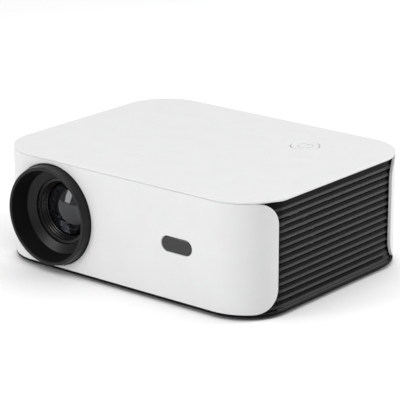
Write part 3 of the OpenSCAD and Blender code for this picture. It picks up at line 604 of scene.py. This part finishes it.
def panel(side, holes, name, node):
    """A wrapped sheet with rounded edges. Each hole is an outline, as a function of how far it
    grows inwards, and its rows of (inset, depth)."""
    edge_r, back_edge_r = 0.55, 0.25
    # the bottom edge is crisper, because the hood's opening comes close to it
    crisp, crisp_reach = 0.4, 6.0
    shell = Shell()
    outline = panel_outline()
    shares = [crisp + (1 - crisp) * min(1.0, (z - PANEL_FLOOR_Z) / crisp_reach)
              for s, z in outline]
    rings, flats = [], []
    for margin, depth in fillet_rows(edge_r, back_edge_r):
        flat = inset(outline, margin, shares)
        flats.append(flat)
        rings.append(shell.ring([wall_point(side, s, z, depth) for s, z in flat]))
    shell.skins(rings)
    front_holes, back_holes = [], []
    for hole, wall_rows in holes:
        hole_rings, hole_flats = [], []
        for margin, depth in wall_rows:
            flat = [(wall_s(x, depth), z) for x, z in hole(margin)]
            hole_flats.append(flat)
            hole_rings.append(shell.ring([wall_point(side, s, z, depth) for s, z in flat]))
        shell.skins(hole_rings)
        front_holes.append((hole_rings[0], hole_flats[0]))
        back_holes.append((hole_rings[-1], hole_flats[-1]))
    # points across both faces, closer together round the corners
    flat_step, corner_step, row_step, first_row, row_count = 6.0, 1.6, 5.9, 3.0, 11
    reach = max(s for s, z in outline)
    across = []
    s = 0.0
    while s < reach:
        across.extend([s, -s] if s else [0.0])
        s += flat_step if s < CORNER_X - flat_step / 2 else corner_step
    heights = [PANEL_FLOOR_Z + first_row + row_step * k for k in range(row_count)]
    grid = [(s, z) for s in across for z in heights]
    shell.fill((rings[0], flats[0]), front_holes, grid,
               lambda s, z: wall_point(side, s, z, 0))
    shell.fill((rings[-1], flats[-1]), back_holes, grid,
               lambda s, z: wall_point(side, s, z, SKIN))
    shell.piece(name, "chassis", "white_shell", node)


def hole_rows(bevel):
    """Rows of (inset, depth) of a hole: a soft bevel at the face, then a straight wall."""
    support, back_support, back_bevel, back_bevel_h = 0.1, 0.5, 0.15, 0.2
    corner = 0.4 * bevel
    rows = rounded([(-bevel - support, 0), (-bevel, 0), (0, bevel), (0, SKIN)],
                   [0, corner, corner, 0], 4, closed=False)
    rows[-1] = (0, SKIN - back_bevel_h)
    rows += [(-back_bevel, SKIN), (-back_support, SKIN)]
    return rows


def make_panels():
    """The white front and rear panels."""
    lens_opening_r, window_gap = 31.0, 0.2
    port_corner_r, least_corner_r = 0.8, 0.1

    def lens_hole(grow):
        return circle(LENS_X, LENS_Z, lens_opening_r - grow, 192)

    def window_hole(grow):
        wider = 2 * (window_gap - grow)
        return pill(WINDOW_X, WINDOW_Z, WINDOW_W + wider, WINDOW_H + wider)

    def middle_x(socket):
        low, high = box_mm(socket)
        return (low.x + high.x) / 2

    def bar_hole(x, w, h):
        def drawn(grow):
            w2, h2 = w / 2 - grow, h / 2 - grow
            points = [(x - w2, PORT_Z - h2), (x + w2, PORT_Z - h2),
                      (x + w2, PORT_Z + h2), (x - w2, PORT_Z + h2)]
            return rounded(points, [max(least_corner_r, port_corner_r - grow)] * 4, 6)
        return drawn

    def round_hole(x, r):
        return lambda grow: circle(x, PORT_Z, r - grow, 64)

    front = [(lens_hole, hole_rows(0.45)), (window_hole, hole_rows(0.4))]
    panel(-1, front, "front_panel_shell", "front_panel")
    ports = [bar_hole(middle_x("hdmi_socket"), 16, 6.8), bar_hole(middle_x("usb_socket"), 14, 7.2),
             round_hole(middle_x("audio_jack"), 3.4), round_hole(middle_x("dc_inlet"), 5.2)]
    panel(1, [(port, hole_rows(0.3)) for port in ports], "rear_panel_shell", "rear_panel")


# ---------------------------------------------------------------- top cover

def body_stations():
    """Stations round the body's outline: (middle of the corner's arc, direction out, degrees
    from the side)."""
    made = []
    turns = list(range(0, 91, 2))
    for quadrant, (sx, sy) in enumerate(((1, 1), (-1, 1), (-1, -1), (1, -1))):
        order = turns if quadrant % 2 == 0 else list(reversed(turns))
        for turn in order:
            a = math.radians(turn)
            centre = Vector((sx * CORNER_X, MID_Y + sy * CORNER_Y))
            made.append((centre, Vector((sx * math.cos(a), sy * math.sin(a))), turn))
    return made


def outline_at(stations, margin):
    """Flat places of the outline's stations, moved in by a margin or by a function of the turn."""
    margins = [margin(turn) if callable(margin) else margin for centre, out, turn in stations]
    return [centre + out * (CORNER_R - m) for (centre, out, turn), m in zip(stations, margins)]


def add_cover_posts(shell):
    """Hollow posts for the case screws and the button's board, and the collar round the cap."""
    bore_r, sunk = 1.3, 0.2
    post_r, post_bevel, post_foot_z = 3.5, 0.2, 62.0
    boss_r, boss_bevel, boss_foot_z, boss_out = 2.6, 0.15, 62.6, 15.0
    collar_in, collar_out, collar_foot_z = BUTTON_R + 1.6, BUTTON_R + 3.0, 64.5
    top_z = COVER_Z + sunk
    screws_high, screw_head_r = box_mm("case_screws")[1], 2.5

    def post(x, y, r, bevel, foot_z, segments):
        profile = [(bore_r, foot_z), (r - bevel, foot_z), (r, foot_z + bevel), (r, top_z),
                   (bore_r, top_z)]
        lathe(shell, profile, upright(x, y), segments)

    # the case screws stand in the four corner posts
    post_x = screws_high.x - screw_head_r
    post_y = screws_high.y - screw_head_r - MID_Y
    for sx in (-1, 1):
        for sy in (-1, 1):
            post(sx * post_x, MID_Y + sy * post_y, post_r, post_bevel, post_foot_z, 48)
    for sx in (-1, 1):
        post(BUTTON_X + sx * boss_out, BUTTON_Y, boss_r, boss_bevel, boss_foot_z, 40)
    collar = [(collar_in, collar_foot_z), (collar_out, collar_foot_z), (collar_out, top_z),
              (collar_in, top_z)]
    lathe(shell, collar, upright(BUTTON_X, BUTTON_Y), 72)


def make_top_cover():
    """The white cover with its rebates for the panels, its lip, its posts and the button's well."""
    shell = Shell()
    stations = body_stations()
    fillet, fillet_steps, support = 0.6, 6, 0.4
    edge_bevel = 0.12
    thin_edge_z = PANEL_TOP_Z + SEAM
    thick_edge_z = COVER_Z + 0.02
    ramp_start, ramp_run = 8, 16            # degrees from the side
    rebate_more, rebate_start, rebate_stop, rebate_ramp = 1.9, -1, 44, 4
    lip_out, lip_in, lip_h, lip_draft = 4.3, 6.2, 0.8, 0.1

    def edge_z(turn):
        """Underside of the rim: thicker over the grilles, in a soft ramp beside the panels."""
        share = max(0.0, min(1.0, (turn - ramp_start) / ramp_run))
        return thick_edge_z + (thin_edge_z - thick_edge_z) * share * share * (3 - 2 * share)

    def rebate(turn):
        """Depth of the rebate, which runs further in where a panel's corner is rounded off."""
        share = min(1.0, (rebate_stop - turn) / rebate_ramp, (turn - rebate_start) / rebate_ramp)
        return SKIN + SEAM + rebate_more * max(0.0, share)

    # rows of (inset, height above the rim's underside, height); one of the heights counts
    rows = [(fillet + support, None, TOP_Z)]
    for i in range(fillet_steps + 1):
        turn = math.pi / 2 * i / fillet_steps
        rows.append((fillet * (1 - math.sin(turn)), None, TOP_Z - fillet * (1 - math.cos(turn))))
    rows += [(0.0, edge_bevel, None), (edge_bevel, 0.0, None), (rebate, 0.0, None),
             (lambda turn: rebate(turn) + 0.05, None, COVER_Z),
             (lip_out, None, COVER_Z), (lip_out + lip_draft, None, COVER_Z - lip_h),
             (lip_in - lip_draft, None, COVER_Z - lip_h), (lip_in, None, COVER_Z)]
    rings, flats = [], []
    for margin, above_edge, z in rows:
        flat = outline_at(stations, margin)
        flats.append(flat)
        heights = [z if above_edge is None else edge_z(turn) + above_edge
                   for centre, out, turn in stations]
        rings.append(shell.ring([(p.x, p.y, h) for p, h in zip(flat, heights)]))
    shell.skins(rings)

    # the button's well, with a soft bevel at its mouth: (radius over the well's, depth)
    well = [(0.95, 0), (0.55, 0), (0.45, 0.03), (0.05, 0.42), (0, 0.55), (0, TOP_Z - COVER_Z)]
    levels = [(circle(BUTTON_X, BUTTON_Y, BUTTON_R + over), TOP_Z - depth)
              for over, depth in well]
    holes = [(shell.ring([(x, y, z) for x, y in flat]), flat) for flat, z in levels]
    shell.skins([ring for ring, flat in holes])
    shell.fill((rings[0], flats[0]), [holes[0]])
    shell.fill((rings[-1], flats[-1]), [holes[-1]])

    add_cover_posts(shell)
    shell.piece("top_cover_shell", "chassis", "white_shell", "top_cover")


# ---------------------------------------------------------------- power button

def power_symbol(icon_r, icon_w):
    """The open ring and the bar of the power symbol, each an outline as a function of how far it
    moves inwards."""
    open_half = math.radians(30)
    first, final = math.pi / 2 + open_half, math.pi / 2 - open_half + 2 * math.pi
    bar_length, bar_drop = 4.4, 1.2
    ring_steps, end_steps = 60, 8

    def at(r, turn, x=BUTTON_X, y=BUTTON_Y):
        return (x + r * math.cos(turn), y + r * math.sin(turn))

    def open_ring(grow):
        half = icon_w / 2 - grow
        turns = [first + (final - first) * i / ring_steps for i in range(ring_steps + 1)]
        outer = [at(icon_r + half, turn) for turn in turns]
        inner = [at(icon_r - half, turn) for turn in reversed(turns)]

        def round_end(turn, start):
            middle = at(icon_r, turn)
            return [at(half, start + math.pi * k / end_steps, *middle)
                    for k in range(1, end_steps)]

        return outer + round_end(final, final) + inner + round_end(first, first + math.pi)

    def bar(grow):
        flat = pill(0, 0, bar_length - 2 * grow, icon_w - 2 * grow, 8)
        return [(BUTTON_X - v, BUTTON_Y + icon_r - bar_drop + u) for u, v in flat]

    return open_ring, bar


def make_power_button():
    """The dished cap with its engraved power symbol, its flange and its stem."""
    shell = Shell()
    gap, dish, dish_edge = 0.5, 0.12, 0.6
    cap_r = BUTTON_R - gap
    dish_r = cap_r - dish_edge
    icon_r, icon_w, icon_depth = 4.6, 0.95, 0.5
    flange_r, flange_z, flange_h, bevel = BUTTON_R + 1.1, COVER_Z - 0.3, 1.0, 0.1
    stem_r = 2.2

    def top_at(x, y):
        out = min(1.0, math.hypot(x - BUTTON_X, y - BUTTON_Y) / dish_r)
        return (x, y, BUTTON_TOP_Z - dish * (1 - out * out) ** 2)

    # radius and height, from the dish's rim down to the stem's end
    side = [(dish_r, BUTTON_TOP_Z), (cap_r - 0.4, BUTTON_TOP_Z),
            (cap_r - 0.25, BUTTON_TOP_Z - 0.04), (cap_r - 0.08, BUTTON_TOP_Z - 0.18),
            (cap_r, BUTTON_TOP_Z - 0.42), (cap_r, flange_z + bevel),
            (flange_r - bevel, flange_z), (flange_r, flange_z - bevel),
            (flange_r, flange_z - flange_h + bevel), (flange_r - bevel, flange_z - flange_h),
            (stem_r, flange_z - flange_h), (stem_r, button_low.z + bevel),
            (stem_r - bevel, button_low.z)]
    rings = [shell.ring([(x, y, z) for x, y in circle(BUTTON_X, BUTTON_Y, r)]) for r, z in side]
    shell.skins(rings)
    bottom = shell.ring([(BUTTON_X, BUTTON_Y, button_low.z)])[0]
    last = rings[-1]
    shell.faces.extend((last[i], last[(i + 1) % len(last)], bottom) for i in range(len(last)))

    # the engraving, down its walls from a softened edge: (inset, depth)
    levels = [(-0.12, 0.0), (-0.06, 0.015), (0.0, 0.08), (0.04, icon_depth - 0.03),
              (0.1, icon_depth)]
    holes = []
    for drawn in power_symbol(icon_r, icon_w):
        cut = []
        for grow, depth in levels:
            flat = drawn(grow)
            placed = [top_at(x, y) for x, y in flat]
            cut.append((shell.ring([(x, y, z - depth) for x, y, z in placed]), flat))
        shell.skins([ring for ring, flat in cut])
        shell.fill(cut[-1])
        holes.append(cut[0])
    # rings of points a millimetre apart carry the dish
    spots = [p for k in range(1, 9) for p in circle(BUTTON_X, BUTTON_Y, k, 6 * k)]
    shell.fill((rings[0], circle(BUTTON_X, BUTTON_Y, dish_r)), holes,
               [(BUTTON_X + 0.01, BUTTON_Y)] + spots, top_at)
    shell.piece("power_button_cap", "power_button", "white_shell", "power_button")


# ---------------------------------------------------------------- lens and window

def make_hood():
    """The focus ring with its hood, which reaches in front of the panel."""
    front = ring_low.y - FRONT_Y
    rim_r, rim_w, rim_bevel, rim_draft = 29.9, 2.0, 0.3, 0.2
    root_r, root = 30.66, 5.5
    neck_r, neck_root, neck_end = 24.8, 9.5, 24.0
    bore_r, bore_start = 22.58, 11.0
    throat_r, throat_start, throat_end = 20.07, 8.0, 10.0
    cone_r, cone_end = 25.6, 5.74
    # (radius, distance behind the panel's face), from the rim over the outside to the bore
    profile = [(rim_r - rim_bevel, front), (rim_r, front + rim_bevel), (root_r, 0), (root_r, root),
               (neck_r, neck_root), (neck_r, neck_end), (bore_r, neck_end), (bore_r, bore_start),
               (throat_r, throat_end), (throat_r, throat_start), (cone_r, cone_end),
               (rim_r - rim_w, front + rim_bevel), (rim_r - rim_w + rim_draft, front)]
    radii = [0.2, 0.2, 2.0, 0.5, 1.0, 0.3, 0.2, 0.3, 0.3, 0.35, 0.4, 0.12, 0.12]
    shell = Shell()
    lathe(shell, rounded(profile, radii, 4), on_lens, 240)
    shell.piece("focus_ring_hood", "focus_ring", "hood_black", "focus_ring")


def make_front_retainer():
    """The ring that holds the front glass, with grooves on its cone against stray light."""
    outer_r, mouth_r, mouth, throat_r, throat = 19.0, 18.4, 9.1, 16.65, 15.1
    grooves, step = 3, 0.42
    profile = [(mouth_r, mouth), (outer_r, mouth), (outer_r, throat), (throat_r, throat)]
    radii = [0.2, 0.15, 0.15, 0.12]
    for i in range(grooves):
        # a land that runs forward along the axis, then a short slope out to the next one
        share = (i + 1) / (grooves + 1)
        r = throat_r + (mouth_r - throat_r) * share
        depth = throat + (mouth - throat) * share
        profile += [(r - step, depth + step), (r, depth)]
        radii += [0.18, 0.05]
    shell = Shell()
    lathe(shell, rounded(profile, radii, 3), on_lens, 192)
    shell.piece("front_retainer_ring", "lens_cell", "lens_black", "front_retainer")


def make_front_glass():
    """The front element, with a true spherical face."""
    edge_r, bevel, back = 18.8, 0.1, 20.3
    sag_r, sag, vertex = 16.65, 5.74, 9.4
    sphere = (sag_r * sag_r + sag * sag) / (2 * sag)
    face_r, face_steps, edge_drop = edge_r - 0.15, 40, 0.12
    profile = []
    for i in range(face_steps + 1):
        r = face_r * i / face_steps
        profile.append((r, vertex + sphere - math.sqrt(sphere * sphere - r * r)))
    face_end = profile[-1][1]
    profile += [(edge_r, face_end + edge_drop), (edge_r, back - bevel), (edge_r - bevel, back),
                (0, back)]
    shell = Shell()
    lathe(shell, profile, on_lens, 160, closed=False)
    shell.piece("front_lens_glass", "lens_cell", "coated_glass", "front_element")


def make_window():
    """The smoked sensor window with its softened face and its flange behind the panel."""
    face_y, back_y = window_low.y, window_high.y
    flange_y = FRONT_Y + SKIN
    # rows of (growth, y) from the face round the edge and the flange to the back
    rows = [(-1.2, face_y), (-0.55, face_y), (-0.3, face_y + 0.05), (-0.1, face_y + 0.17),
            (0, face_y + 0.4), (0, flange_y), (WINDOW_FLANGE, flange_y),
            (WINDOW_FLANGE, back_y), (-0.6, back_y)]
    shell = Shell()
    rings = []
    for grow, y in rows:
        flat = pill(WINDOW_X, WINDOW_Z, WINDOW_W + 2 * grow, WINDOW_H + 2 * grow, 28)
        rings.append((shell.ring([(x, y, z) for x, z in flat]), flat))
    shell.skins([ring for ring, flat in rings])
    shell.fill(rings[0])
    shell.fill(rings[-1])
    shell.piece("ir_window_lens", "chassis", "window_black", "ir_window")


# ---------------------------------------------------------------- side grilles

def grille_section():
    """Outer and inner line of a grille's section from the top down, as (radius, height), and the
    numbers of the points on the outer line that have a slot below them."""
    wall_in, wall_out, lip = 26.0, 27.0, 27.9
    pitch, slot_h, slope_h, edge_h = 4.43, 1.23, 1.5, 0.15
    top_lip_z, count = TOP_Z - 8.05, 14
    outer = [(wall_out, COVER_Z)]
    slots = []
    for k in range(count):
        z = top_lip_z - k * pitch
        # down the slope with softened corners, then round the lip's edge
        outer += [(wall_out, z + slope_h + 0.10), (wall_out + 0.035, z + slope_h - 0.03),
                  (lip - 0.10, z + edge_h + 0.13), (lip - 0.035, z + edge_h + 0.03),
                  (lip, z + 0.10)]
        if k < count - 1:
            outer += [(lip - 0.015, z + 0.035), (lip - 0.08, z)]
            slots.append(len(outer))
            outer += [(wall_out, z), (wall_out, z - slot_h)]
    outer.append((lip, PANEL_FLOOR_Z))
    inner = [(wall_in, COVER_Z)]
    for k in range(count - 1):
        z = top_lip_z - k * pitch
        inner += [(wall_in, z), (wall_in, z - slot_h)]
    inner.append((wall_in, PANEL_FLOOR_Z))
    return outer, inner, slots


def add_grille_ribs(shell, side, wall_in):
    """Upright ribs behind the slots."""
    rib, count, spread, corner_r, end_gap, sunk = 1.6, 5, 0.9, 0.3, 1.0, 0.1
    x1, x0 = CORNER_X + wall_in + sunk, CORNER_X + wall_in - rib
    z0, z1 = PANEL_FLOOR_Z + end_gap, COVER_Z - end_gap
    for i in range(count):
        y = MID_Y + spread * CORNER_Y * (2 * i / (count - 1) - 1)
        flat = rounded([(x0, y - rib / 2), (x1, y - rib / 2), (x1, y + rib / 2), (x0, y + rib / 2)],
                       [corner_r, 0, 0, corner_r], 3)
        low, high = [shell.ring([(side * px, py, z) for px, py in flat]) for z in (z0, z1)]
        shell.skin(low, high)
        shell.fill((low, flat))
        shell.fill((high, flat))


def make_grille(side, node):
    """A louvred side wall with rounded lips and through slots; side is 1 for right, -1 for left."""
    outer, inner, slots = grille_section()
    # every other slot runs further round the corners; both ends are in degrees from the side
    short_end, long_end, wall_end = 8.3, 25.0, 40.0
    ends = [short_end if k % 2 == 0 else long_end for k in range(len(slots))]
    turns = [0, 2.8, 5.5, short_end, 11, 14, 17, 20, 22.5, long_end, 30, 35, wall_end]
    flat_steps = 12
    runs = [-1 + 2 * i / flat_steps for i in range(1, flat_steps)]
    # stations of (share of the way to a corner, turn round it)
    stations = [(-1, t) for t in reversed(turns)] + [(y, 0) for y in runs] + [(1, t) for t in turns]
    shell = Shell()
    columns = []
    for along, turn in stations:
        a = math.radians(turn)
        out = Vector((math.cos(a), math.copysign(math.sin(a), along)))
        centre = Vector((CORNER_X, MID_Y + along * CORNER_Y))

        def placed(r, z):
            flat = centre + out * r
            return (side * flat.x, flat.y, z)

        columns.append((shell.ring([placed(r, z) for r, z in outer]),
                        shell.ring([placed(r, z) for r, z in inner])))

    for here in range(len(columns) - 1):
        (out_a, in_a), (out_b, in_b) = columns[here], columns[here + 1]
        turn = max(stations[here][1], stations[here + 1][1])
        is_open = {slot: turn <= end for slot, end in zip(slots, ends)}
        for i in range(len(outer) - 1):
            if not is_open.get(i, False):
                shell.faces.append((out_a[i], out_a[i + 1], out_b[i + 1], out_b[i]))
        for i in range(len(inner) - 1):
            k = (i - 1) // 2
            if i % 2 == 0 or not is_open[slots[k]]:
                shell.faces.append((in_b[i], in_b[i + 1], in_a[i + 1], in_a[i]))
        for k, slot in enumerate(slots):
            if is_open[slot]:
                for o, i in ((slot, 2 * k + 1), (slot + 1, 2 * k + 2)):
                    shell.faces.append((out_a[o], in_a[i], in_b[i], out_b[o]))
        shell.faces.append((out_a[0], in_a[0], in_b[0], out_b[0]))
        shell.faces.append((out_a[-1], in_a[-1], in_b[-1], out_b[-1]))
    for k, slot in enumerate(slots):
        for here, (along, turn) in enumerate(stations):
            if turn == ends[k]:
                out_ids, in_ids = columns[here]
                i = 2 * k + 1
                shell.faces.append((out_ids[slot], out_ids[slot + 1], in_ids[i + 1], in_ids[i]))
    section = outer + list(reversed(inner))
    for out_ids, in_ids in (columns[0], columns[-1]):
        shell.fill((out_ids + list(reversed(in_ids)), section))
    add_grille_ribs(shell, side, wall_in=inner[0][0])
    shell.piece(f"{node}_wall", "chassis", "black_shell", node)


# ---------------------------------------------------------------- feet

def make_feet():
    """Rubber feet with a soft rim and a shallow dish underneath."""
    dish, dish_slope, rim_w, bevel, bevel_h = 0.25, 0.4, 1.8, 0.45, 0.5
    for end in ("front", "rear"):
        for hand in ("left", "right"):
            node = f"foot_{end}_{hand}"
            low, high = box_mm(node)
            r = (high.x - low.x) / 2
            x, y = (high.x + low.x) / 2, (high.y + low.y) / 2
            profile = [(0, low.z + dish), (r - rim_w - dish_slope, low.z + dish),
                       (r - rim_w, low.z), (r - bevel, low.z), (r, low.z + bevel_h),
                       (r, high.z), (0, high.z)]
            radii = [0, 0.3, 0.2, 0.4, 0.3, 0.15, 0]
            shell = Shell()
            lathe(shell, rounded(profile, radii, 4, closed=False), upright(x, y), 72, closed=False)
            shell.piece(f"{node}_pad", "chassis", "foot_rubber", node)


# ---------------------------------------------------------------- carried-over CAD nodes

def dress_cad_nodes():
    """Gives every CAD node that is still shown its slot's procedural material."""
    for name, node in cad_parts.items():
        if node.hide_render:
            continue
        node.data.materials.clear()
        node.data.materials.append(LOOKS[SLOT_OF[name]])
        for polygon in node.data.polygons:
            polygon.material_index = 0


# ---------------------------------------------------------------- camera, floor and lights

def aim(thing, target):
    """Turns an object so that its -Z points at a place."""
    direction = Vector(target) - thing.location
    thing.rotation_euler = direction.to_track_quat("-Z", "Y").to_euler()


def make_camera():
    """The photograph's view: 39 degrees to the right of the front and 18 degrees above it."""
    azimuth, elevation = math.radians(39.26), math.radians(17.64)
    focal_mm, sensor_mm = 189.7, 36.0
    nearest, farthest = 0.05, 20.0
    data = bpy.data.cameras.new("camera")
    data.sensor_width = sensor_mm
    data.lens = focal_mm
    data.clip_start = nearest
    data.clip_end = farthest
    camera = bpy.data.objects.new("camera", data)
    bpy.context.scene.collection.objects.link(camera)
    camera.location = (0.7677, -0.9401, 0.4226)
    back = Vector((math.sin(azimuth) * math.cos(elevation),
                   -math.cos(azimuth) * math.cos(elevation), math.sin(elevation)))
    camera.rotation_euler = (-back).to_track_quat("-Z", "Y").to_euler()
    bpy.context.scene.camera = camera


def area_light(name, place, target, size, size_y, power):
    """A rectangular soft light that looks at a target; metres and watts."""
    data = bpy.data.lights.new(name, "AREA")
    data.shape = "RECTANGLE"
    data.size = size
    data.size_y = size_y
    data.energy = power
    light = bpy.data.objects.new(name, data)
    bpy.context.scene.collection.objects.link(light)
    light.location = place
    aim(light, target)


def make_studio():
    """A pale floor, a pale surrounding and soft lights."""
    reach, surround = 6.0, 0.36
    mesh = bpy.data.meshes.new("floor")
    corners = [(-reach, -reach, 0), (reach, -reach, 0), (reach, reach, 0), (-reach, reach, 0)]
    mesh.from_pydata(corners, [], [(0, 1, 2, 3)])
    floor = bpy.data.objects.new("floor", mesh)
    bpy.context.scene.collection.objects.link(floor)
    look = Look("floor_paper", (0.98, 0.98, 0.98), 0.85)
    look.gloss(look.noise(40, 2), 0.8, 0.9)
    mesh.materials.append(look.material)

    world = bpy.data.worlds.new("studio")
    world.use_nodes = True
    background = world.node_tree.nodes["Background"]
    background.inputs["Color"].default_value = (1, 1, 1, 1)
    background.inputs["Strength"].default_value = surround
    bpy.context.scene.world = world
    bpy.context.scene.view_settings.view_transform = "Standard"

    middle = (0, 0, 0.04)
    area_light("front_softbox", (-0.68, -1.28, 0.47), middle, 0.44, 0.8, 6.0)
    area_light("fill_softbox", (0.10, -0.90, 1.11), middle, 0.5, 0.5, 2.9)
    area_light("top_softbox", (0.0, 0.1, 1.6), middle, 2.6, 2.6, 25)
    area_light("rear_softbox", (0.78, 1.03, 0.58), middle, 0.36, 0.42, 7)


make_panels()
make_top_cover()
make_power_button()
make_hood()
make_front_retainer()
make_front_glass()
make_window()
make_grille(1, "right_grille")
make_grille(-1, "left_grille")
make_feet()
dress_cad_nodes()
make_camera()
make_studio()
